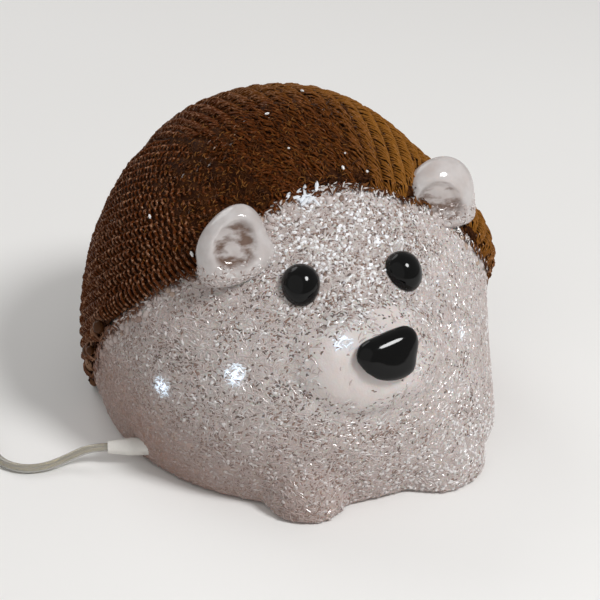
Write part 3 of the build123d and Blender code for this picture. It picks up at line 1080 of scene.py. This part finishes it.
coatSet = {
    "seed": 5,
    "brow": (0.0, -26 * mm, 74 * mm),
    "farFront": (0.0, -150 * mm, 44 * mm),
    "tail": (0.0, 63 * mm, 2 * mm),
    "edge": 119.0,
    "step": (3.2, 3.9),
    "stepTurn": (-1.0, 0.8),
    "turning": (-0.75, 0.25),
    "widest": 3.0 * mm,
    "samples": 110,
    "fewest": 3,
    "reach": 0.2,
    "leastCoat": 0.4 * mm,
    "rise": 1.3 * mm,
    "crown": 1.7 * mm,
    "crownPlay": (0.85, 1.1),
    "dip": 0.9 * mm,
    "start": (-1.4, -0.3),
    "rimFoot": 0.1,
    "rimRun": 2.6 * mm,
    "rimReach": 6 * mm,
    "rimSide": (-22 * mm, -36 * mm),
    "felt": 0.8,
    "feltFront": (22 * mm, 0),
    "feltMiddle": -8 * mm,
    "feltSides": (34 * mm, 18 * mm),
    "feltLitGold": 0.65,
    "shake": (0.05, 0.24),
    # where the painted light on the coat falls: the animal's left and the top
    "litGoldSide": (-24 * mm, 28 * mm),
    "litGoldHigh": (24 * mm, 58 * mm),
    "litGoldLeast": 0.1,
    "flank": (0.35, 0.75),
    "wave": (0.95 * mm, 1.75 * mm),
    "wavePlay": (0.85, 1.15),
    "lean": (-1.4, 0.25),
    "threadRadius": (0.30 * mm, 0.42 * mm),
    "over": (-1.0, -0.62, -0.22, 0.22, 0.62, 1.0),
    "under": (0.45, -0.45),
    "leastPitch": 0.9 * mm,
    "pitches": (1.0, 2.2, 1.5, 2.2),
    "pieces": ("coatThreadsRight", "coatThreadsTopRight", "coatThreadsTopLeft", "coatThreadsLeft"),
}


def litGoldAt(places, s):
    # painted light: lighter and more golden on the coat's top and on the animal's left, where the
    # key lamp falls
    left = ramp(places[:, 0], *s["litGoldSide"])
    return left * np.maximum(ramp(places[:, 2], *s["litGoldHigh"]), s["litGoldLeast"])


def rimAt(places, starts, s):
    # near the front ends of the right flank's rows
    gaps = np.full(len(places), 1.0)
    for start in starts:
        gaps = np.minimum(gaps, gapsTo(start, places))
    return ramp(places[:, 0], *s["rimSide"]) * ramp(gaps, s["rimReach"], 0)


def feltAt(places, s):
    # the ribs lie flatter over the brow
    aside = np.abs(places[:, 0] - s["feltMiddle"])
    return ramp(places[:, 1], *s["feltFront"]) * ramp(aside, *s["feltSides"])


def coatThreadFinish():
    board = Board("brownThreads", Roughness=0.34, IOR=1.45, Specular_IOR_Level=0.06)
    litGold = board.number("litGold")
    cloud = board.noise(9 * mm, 3.0)
    grain = board.noise(0.8 * mm, 2.0)
    # painted light: the threads turn from dark brown to golden brown on the lit top and left side
    litGoldShare = board.span(litGold + cloud * 0.5, 0.35, 1.15)
    tint = board.mix(litGoldShare, rgb(0.082, 0.021, 0.004), rgb(0.225, 0.090, 0.014))
    # amber speckles; their pale pinkish tone on the flank is partly a painted highlight
    amberAndSheen = board.mix(litGoldShare, rgb(0.38, 0.20, 0.115), rgb(0.32, 0.14, 0.034))
    amberAndSheen = board.mix(board.number("felt"), amberAndSheen, rgb(0.17, 0.052, 0.010))
    tint = board.mix(board.span(grain, 0.52, 0.66) * 0.8, tint, amberAndSheen)
    rim = board.number("rim") * board.span(cloud, 0.35, 0.6, 0.25, 0.9)
    tint = board.mix(rim, tint, rgb(0.34, 0.20, 0.135))
    board.give("Base Color", tint)
    board.give("Coat Weight", board.span(grain, 0.5, 0.75, 0.0, 0.3) * (1 - litGoldShare * 0.7))
    board.give("Normal", board.bump(grain, 0.3, 0.15 * mm))
    return board.material


def fanOf(turn, s):
    # rows of the right flank meet at the brow, the others run straight to the front
    first, last = s["turning"]
    front = between((Vector(s["brow"]), Vector(s["farFront"])), (turn - first) / (last - first))
    rear = Vector(s["tail"])
    upward = (rear - front).cross(Vector((-1, 0, 0))).normalized()
    return front, rear, Vector((math.sin(turn), 0, 0)) + upward * math.cos(turn)


def fanHit(tree, foot, way, reach):
    spot, normal, _, left = tree.ray_cast(foot + way * reach, -way, reach)
    return (spot, normal, reach - left) if spot else (None, None, 0.0)


def rowLine(turn, s):
    front, rear, way = fanOf(turn, s)
    line = []
    for number in range(s["samples"] + 1):
        share = 0.5 - 0.5 * math.cos(math.pi * number / s["samples"])  # closer at both ends
        foot = front.lerp(rear, share)
        spot, normal, height = fanHit(calmTree, foot, way, s["reach"])
        if spot and fanHit(coatTree, foot, way, s["reach"])[2] > height + s["leastCoat"]:
            line.append((spot, normal))
    return line


def halfWidths(line, others, widest):
    here = np.array([spot for spot, _ in line])
    gaps = []
    for other in others:
        there = np.array([spot for spot, _ in other])
        gaps.append(np.linalg.norm(here[:, None] - there[None], axis=2).min(axis=1))
    return np.minimum(np.mean(gaps, axis=0) / 2, widest)


def walkAlong(line, halves):
    # place, normal, heading and half the row's width at a distance along the row
    spots = [spot for spot, _ in line]
    lengths = np.concatenate([[0], np.cumsum([(b - a).length for a, b in zip(spots, spots[1:])])])

    def at(distance):
        number = int(np.clip(np.searchsorted(lengths, distance) - 1, 0, len(spots) - 2))
        run = spots[number + 1] - spots[number]
        share = (distance - lengths[number]) / max(run.length, 0.001 * mm)
        return spots[number] + run * share, line[number][1], run.normalized(), halves[number]

    return at, lengths[-1]


def windRib(line, halves, turn, s, draw, keepPitch):
    at, total = walkAlong(line, halves)
    first, run = s["flank"]
    flank = (-turn - first) / run
    wave, lean = between(s["wave"], flank), between(s["lean"], flank)
    calmShake, feltShake = s["shake"]
    points = []
    start = draw.uniform(*s["start"]) * mm
    distance = start - abs(lean) * halves[0]

    def addPoint(along, side, height, shake):
        along = max(along + side * half * lean, start)
        place, normal, heading, _ = at(along)
        lift = height * min(1.0, s["rimFoot"] + (along - start) / s["rimRun"])  # low at the rim
        spot = place + heading.cross(normal) * (side * half) + normal * lift
        points.append(spot + Vector(draw.normal(0, shake, 3)) if shake else spot)

    while distance < total:
        middle, _, _, half = at(max(distance, 0.0))
        if 2 * half < keepPitch:
            distance += wave
            continue
        felt = feltAt(np.array([middle]), s)[0]
        crown = min(s["crown"], half) * (1 - s["felt"] * felt) * draw.uniform(*s["crownPlay"])
        for side in s["over"]:
            height = s["rise"] + crown * math.cos(side * math.pi / 2)
            addPoint(distance, side, height, (calmShake + feltShake * felt) * mm)
        for side in s["under"]:
            addPoint(distance + wave * 0.5, side, s["rise"] - s["dip"], 0.0)
        distance += wave * draw.uniform(*s["wavePlay"])
    return points


def rowTurns(s):
    # rows lie closer on the right flank than on the crown and the left
    first, run = s["stepTurn"]
    turn, turns = -math.radians(s["edge"]), []
    while turn < math.radians(s["edge"]):
        step = math.radians(between(s["step"], (turn - first) / run))
        turns.append(turn + step / 2)
        turn += step
    return turns


def threadCurves(s):
    thin, thick = s["threadRadius"]
    curves = []
    for number, name in enumerate(s["pieces"]):
        curve = bpy.data.curves.new(name, "CURVE")
        curve.dimensions = "3D"
        curve.bevel_resolution = 0
        curve.use_fill_caps = True
        curve.bevel_depth = thin if number else thick  # thick on the right flank
        curves.append(curve)
    return curves


def makeCoatThreads(s):
    draw = np.random.RandomState(s["seed"])
    material = coatThreadFinish()
    curves = threadCurves(s)
    oneTurn = len(s["over"]) + len(s["under"])
    rows = [(turn, rowLine(turn, s)) for turn in rowTurns(s)]
    rows = [(turn, line) for turn, line in rows if len(line) > s["fewest"]]
    for row, (turn, line) in enumerate(rows):
        others = [rows[number][1] for number in (row - 1, row + 1) if 0 <= number < len(rows)]
        keepPitch = s["leastPitch"] * s["pitches"][row % len(s["pitches"])]
        points = windRib(line, halfWidths(line, others, s["widest"]), turn, s, draw, keepPitch)
        if len(points) < oneTurn:
            continue
        curve = curves[row * len(curves) // len(rows)]
        spline = curve.splines.new("POLY")
        spline.points.add(len(points) - 1)
        for point, place in zip(spline.points, points):
            point.co = (place.x, place.y, max(place.z, curve.bevel_depth), 1.0)
    starts = np.array([line[0][0] for turn, line in rows])
    for curve in curves:
        piece = addPiece(curve.name, curve)
        pick(piece)
        bpy.ops.object.convert(target="MESH")
        smoothFaces(piece)
        places = vertexPlaces(piece.data)
        felt = feltAt(places, s)
        writeNumbers(piece.data, "felt", felt)
        writeNumbers(piece.data, "rim", rimAt(places, starts, s))
        # painted light on the coat, weaker over the brow's felt
        writeNumbers(piece.data, "litGold", litGoldAt(places, s) * (1 - s["feltLitGold"] * felt))
        settle(piece, material)
        print(piece.name, len(piece.data.polygons), "faces")
    return rows


coatRows = makeCoatThreads(coatSet)


# Drops at the low rim of the right flank, loose curls and bright glints on the coat

dropSet = {
    "seed": 8,
    "side": -36 * mm,
    "top": 44 * mm,
    "lift": 0.4 * mm,
    "spread": 0.5 * mm,
    "length": (1.0, 1.5),
    "lengthInWidths": True,
    "width": (2.6 * mm, 4.0 * mm),
    "height": 0.9,
    "turn": (0, 3),
    "tones": (
        (0.4, (0.17, 0.08, 0.040)),
        (0.3, (0.29, 0.17, 0.105)),
        (0.3, (0.06, 0.024, 0.010)),
    ),
}


def coatChance(places, s):
    return s["base"] + s["onFelt"] * feltAt(places, coatSet)


looseSet = {
    "seed": 6,
    "pieces": ("coatCurlsA", "coatCurlsB"),
    "count": 3000,
    "tries": 8,
    "shape": curl,
    "chance": coatChance,
    "base": 0.25,
    "onFelt": 0.75,
    "lift": (0.3 * mm, 0.95 * mm),
    "length": (0.7 * mm, 1.7 * mm),
    "width": (0.22 * mm, 0.38 * mm),
    "height": 1.0,
    "tones": (
        (0.48, (0.070, 0.024, 0.007)),
        (0.30, (0.024, 0.008, 0.003)),
        (0.22, (0.19, 0.078, 0.018)),
    ),
}
# white granules that stand for glints on the coat: painted highlights
glintSet = {
    **looseSet,
    "seed": 7,
    "count": 24,
    "lift": 0.8,
    "length": (1.0, 2.2),
    "lengthInWidths": True,
    "width": (0.5 * mm, 1.0 * mm),
    "turn": (0, 3),
    "white": 0.9,
}


def coatCurlFinish():
    board = Board("looseCurls", Roughness=0.3, IOR=1.45, Specular_IOR_Level=0.08)
    grain = board.noise(0.8 * mm, 2.0)
    tint = board.mix(grain * 0.3, board.colour("tone"), rgb(0.10, 0.034, 0.007))
    board.give("Base Color", tint)
    board.give("Coat Weight", grain * 0.12)
    board.give("Normal", board.bump(grain, 0.3, 0.1 * mm))
    return board.material


def makeDrops(rows, s, material):
    draw = np.random.RandomState(s["seed"])
    ends = [place for _, line in rows for place in line[:4:2]]  # two at each row's front end
    ends = [(spot, way) for spot, way in ends if spot.x < s["side"] and spot.z < s["top"]]
    lift = coatSet["rise"] + s["lift"]
    places = np.array([spot + way * lift for spot, way in ends])
    normals = np.array([way for _, way in ends])
    total = len(places)
    places = places + draw.normal(0, s["spread"], (total, 3))
    sizes = drawSizes(draw, s, total)
    colours = pickTones(draw, s["tones"], total)
    turns, dark = draw.uniform(*s["turn"], total), np.zeros(total)
    drops = copyOver("rimDrops", makeGranule(2), places, normals, sizes, turns, colours, dark)
    smoothFaces(drops)
    settle(drops, material)


def makeCoatCurls(s, material):
    draw = np.random.RandomState(s["seed"])
    places, normals = choosePlaces(draw, s["count"] * len(s["pieces"]), s, coatedSkin)
    total = len(places)
    lifts = skinSet["tuck"] + coatSet["rise"] + draw.uniform(*s["lift"], total)
    places = places + normals * lifts[:, None]
    colours = pickTones(draw, s["tones"], total)
    sizes = drawSizes(draw, s, total)
    turns, dark = draw.uniform(0, math.pi, total), np.zeros(total)
    layPieces(s, (places, normals, sizes, turns, colours, dark), material)


def makeCoatGlints(s, material):
    draw = np.random.RandomState(s["seed"])
    places, normals = choosePlaces(draw, s["count"], s, coatedSkin)
    total = len(places)
    lift = skinSet["tuck"] + coatSet["rise"] + coatSet["crown"] * s["lift"]
    places = places + normals * lift
    sizes = drawSizes(draw, s, total)
    turns, dark = draw.uniform(*s["turn"], total), np.zeros(total)
    # painted highlights: the glints are near-white
    tones = np.full((total, 3), s["white"])
    glints = copyOver("coatGlints", makeGranule(1), places, normals, sizes, turns, tones, dark)
    settle(glints, material)


curlMaterial = coatCurlFinish()
makeDrops(coatRows, dropSet, curlMaterial)
makeCoatCurls(looseSet, curlMaterial)
strew(fraySet, curlMaterial)
makeCoatGlints(glintSet, threadMaterial)
print("coat laid")


# Ears: clear bell-shaped cups, each with its own peak and hollow

earSet = {
    "segments": 48,
    "rings": 28,
    "sortFrom": (0.83, 0.31, 0.57),
    "halves": (10.0 * mm, 6.2 * mm, 9.4 * mm),
    "opening": (0.72, 0.92),
    "hollow": 2.7 * mm,
    "peakPower": 2,
    "flare": 0.7,
    "flarePower": 1.5,
    "tip": 14.0,
}
rightEarSet = {
    **earSet,
    "way": (-0.08, -0.98, 0.18),
    "peak": (3.2 * mm, 0, 0.8 * mm),
    "lean": -12.0,
}
leftEarSet = {
    **earSet,
    "way": (-0.26, -0.93, -0.27),
    "peak": (0.8 * mm, 0, 0.8 * mm),
    "lean": 12.0,
}


def earFinish():
    clear = {"Transmission_Weight": 0.45, "IOR": 1.4, "Coat_Weight": 0.3}
    board = Board("clearEar", Roughness=0.05, **clear)
    cloud = board.noise(5 * mm, 3.0)
    wisp = board.noise(4.6 * mm, 4.0, (0.7, 1, 1.5), (0.2, 0.5, 0.1))
    pale = board.span(cloud, 0.35, 0.65)
    tint = board.mix(pale, rgb(0.80, 0.735, 0.715), rgb(0.92, 0.88, 0.87))
    # painted shade: dark brown in the ear's hollow, broken up by wisps
    inside = board.span(board.number("hollow"), 0.1, 0.8) * board.span(wisp, 0.42, 0.56, 1.0, 0.1)
    tint = board.mix(inside, tint, rgb(0.24, 0.155, 0.12))
    board.give("Base Color", tint)
    board.give("Normal", board.bump(cloud, 0.4, 0.9 * mm))
    return board.material


def sortFaces(piece, corner):
    # a new ball's faces come in another order at each run, and threads are strewn by that order
    pick(piece)
    bpy.context.scene.cursor.location = corner
    bpy.ops.object.mode_set(mode="EDIT")
    bpy.ops.mesh.select_all(action="SELECT")
    bpy.ops.mesh.sort_elements(type="CURSOR_DISTANCE", elements={"FACE", "EDGE"})
    bpy.ops.object.mode_set(mode="OBJECT")
    bpy.context.scene.cursor.location = (0, 0, 0)


def makeEar(node, name, material, s):
    deselectAll()
    sides = {"segments": s["segments"], "ring_count": s["rings"]}
    bpy.ops.mesh.primitive_uv_sphere_add(radius=1.0, **sides)
    ear = bpy.context.object
    ear.name = name
    sortFaces(ear, s["sortFrom"])
    places = vertexPlaces(ear.data)
    upper = np.clip(places[:, 2:3], 0, 1) ** s["peakPower"]
    lower = np.clip(-places[:, 2:3], 0, 1) ** s["flarePower"]
    way = np.array(s["way"])
    dent = ramp(places @ way, *s["opening"])
    dent = dent * dent * (3 - 2 * dent)
    writeNumbers(ear.data, "hollow", dent)
    places = places * np.array(s["halves"]) - way * (dent * s["hollow"])[:, None]
    places += upper * np.array(s["peak"])
    places[:, :2] *= 1 + s["flare"] * lower
    setPlaces(ear.data, places)
    applyModifier(ear, "SUBSURF", levels=1, render_levels=1)
    smoothFaces(ear)
    turn = Matrix.Rotation(math.radians(s["lean"]), 4, "Y")
    tip = Matrix.Rotation(math.radians(-s["tip"]), 4, "X")
    ear.data.transform(Matrix.Translation(boxMiddle(node)) @ tip @ turn)
    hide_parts(node)
    return settle(ear, material)


def lobeChance(places, s):
    # the lower lobe, where it stands clear of the skin
    top = boxMiddle("right_ear").z - s["below"]
    inside = []
    for place in places:
        spot, normal = calmTree.find_nearest(Vector(place))[:2]
        inside.append((Vector(place) - spot).dot(normal) < 0)
    return np.where(inside, 0.0, ramp(places[:, 2], top, top - s["fade"]))


lobeSet = {
    **fusedSet,
    "seed": 18,
    "count": 240,
    "tries": 40,
    "chance": lobeChance,
    "below": 1.5 * mm,
    "fade": 3.5 * mm,
    "length": (0.6 * mm, 1.5 * mm),
    "width": (0.28 * mm, 0.55 * mm),
    "height": 0.8,
    "tones": (
        (0.6, (0.56, 0.48, 0.455)),
        (0.2, (0.84, 0.81, 0.80)),
        (0.2, (0.16, 0.085, 0.055)),
    ),
}
earMaterial = earFinish()
rightEar = makeEar("right_ear", "rightEar", earMaterial, rightEarSet)
leftEar = makeEar("left_ear", "leftEar", earMaterial, leftEarSet)
for ear, name in ((rightEar, "rightEarThreads"), (leftEar, "leftEarThreads")):
    strew({**lobeSet, "pieces": (name,)}, threadMaterial, ear)
print("ears made")


# Nose: a smooth pebble

noseSet = {
    "voxel": 0.6 * mm,
    "smoothRounds": 110,
    "wider": 1.07,
    "fuller": 0.5,
    "levels": 24,
    "levelReach": 1.2,
    "lastRounds": 12,
}


def blackFinish():
    board = Board("glossBlack", IOR=1.45, Specular_IOR_Level=0.3)
    cloud = board.noise(4 * mm, 3.0)
    board.give("Base Color", board.mix(cloud, rgb(0.001, 0.001, 0.001), rgb(0.003, 0.003, 0.003)))
    board.give("Roughness", 0.05 + cloud * 0.05)
    board.give("Normal", board.bump(cloud, 0.05, 0.2 * mm))
    return board.material


def makeNose(s, material):
    nose = copyNode("nose", "noseButton")
    width = np.ptp(vertexPlaces(nose.data)[:, 0])
    remesh(nose, s)
    places = vertexPlaces(nose.data)
    places = (places - noseMiddle) * (width / np.ptp(places[:, 0]))
    heights = places[:, 2]
    levels = np.linspace(heights.min(), heights.max(), s["levels"])
    near = [np.abs(heights - level) < s["levelReach"] * s["voxel"] for level in levels]
    widths = np.array([np.abs(places[rows, 0]).max() for rows in near])
    share = np.interp(heights, levels, widths) / widths.max()
    places[:, 0] *= s["wider"] * share ** -s["fuller"]
    setPlaces(nose.data, places + noseMiddle)
    smoothShape(nose, s["lastRounds"])
    smoothFaces(nose)
    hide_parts("nose")
    settle(nose, material)


blackMaterial = blackFinish()
makeNose(noseSet, blackMaterial)
print("nose made")


# Finishes of the pieces that keep their CAD shape: dark and light tone, roughness, the rest

clearPlastic = {"IOR": 1.45, "Coat_Weight": 0.3}
finishSet = {
    "base_plate": ("basePlate", (0.58, 0.55, 0.54), (0.70, 0.68, 0.67), 0.25, clearPlastic),
    "led_sleeves": ("shrinkSleeve", (0.70, 0.70, 0.68), (0.80, 0.80, 0.78), 0.5, {}),
    "led_glue_dabs": ("setGlue", (0.74, 0.70, 0.62), (0.84, 0.82, 0.75), 0.2, clearPlastic),
    "led_wire": ("lampWire", (0.50, 0.42, 0.26), (0.66, 0.58, 0.42), 0.25, clearPlastic),
    "cable_gland": ("cableGland", (0.66, 0.64, 0.60), (0.78, 0.76, 0.72), 0.3, clearPlastic),
    "cord_tie": ("tieBand", (0.74, 0.74, 0.72), (0.84, 0.84, 0.82), 0.55, {}),
    "plug_body": ("plugBody", (0.68, 0.67, 0.64), (0.80, 0.79, 0.76), 0.28, clearPlastic),
    "plug_pins": ("plugPins", (0.60, 0.52, 0.34), (0.74, 0.66, 0.46), 0.25, {"Metallic": 1.0}),
}


def plainFinish(name, dark, light, rough, fixed):
    board = Board(name, **fixed)
    cloud = board.noise(2 * mm, 3.0)
    grain = board.noise(0.4 * mm, 2.0)
    board.give("Base Color", board.mix(cloud, rgb(*dark), rgb(*light)))
    board.give("Roughness", rough + grain * 0.12)
    board.give("Normal", board.bump(grain, 0.15, 0.05 * mm))
    return board.material


def lampFinish():
    board = Board("lampLens", Roughness=0.1, IOR=1.5, Emission_Strength=2.0)
    cloud = board.noise(2 * mm)
    board.give("Base Color", board.mix(cloud, rgb(0.78, 0.86, 0.95), rgb(0.90, 0.95, 1.0)))
    board.give("Emission Color", board.mix(cloud, rgb(0.62, 0.78, 1.0), rgb(0.80, 0.90, 1.0)))
    return board.material


def finishNodes(s):
    for node, finish in s.items():
        wear(nodes[node], plainFinish(*finish))
    for node in ("right_eye", "left_eye"):
        wear(nodes[node], blackMaterial)
    lampMaterial = lampFinish()
    for node in lampNodes:
        wear(nodes[node], lampMaterial)


finishNodes(finishSet)
print("node finishes set")


# Floor and soft studio light

floorSet = {
    "size": 6.0,
    "drop": 0.15 * mm,
    "patch": 0.2,
    "pale": (0.84, 0.83, 0.815),
    "paler": (0.87, 0.865, 0.855),
}
lightSet = {
    "world": (1.0, 0.985, 0.965),
    "worldStrength": 0.34,
    "aim": (0, 0, 0.04),
    "lamps": (
        ("keyLight", (0.30, -0.55, 0.75), 0.26, 6.0),
        ("fillLight", (-0.8, -0.5, 0.5), 2.0, 2.4),
        ("backLight", (-0.2, 0.8, 0.7), 0.7, 2.4),
    ),
}


def makeFloor(s):
    deselectAll()
    bpy.ops.mesh.primitive_plane_add(size=s["size"], location=(0, 0, -s["drop"]))
    floor = bpy.context.object
    floor.name = "paleFloor"
    board = Board("paleFloor", Roughness=0.8)
    board.give("Base Color", board.mix(board.noise(s["patch"]), rgb(*s["pale"]), rgb(*s["paler"])))
    wear(floor, board.material)


def makeLights(s):
    world = bpy.data.worlds.new("studio")
    world.use_nodes = True
    background = world.node_tree.nodes["Background"]
    background.inputs["Color"].default_value = rgb(*s["world"])
    background.inputs["Strength"].default_value = s["worldStrength"]
    bpy.context.scene.world = world
    for name, place, size, power in s["lamps"]:
        deselectAll()
        bpy.ops.object.light_add(type="AREA", location=place)
        lamp = bpy.context.object
        lamp.name = name
        lamp.data.shape = "DISK"
        lamp.data.size = size
        lamp.data.energy = power
        way = Vector(s["aim"]) - Vector(place)
        lamp.rotation_euler = way.to_track_quat("-Z", "Y").to_euler()


makeFloor(floorSet)
makeLights(lightSet)
print("stage set")
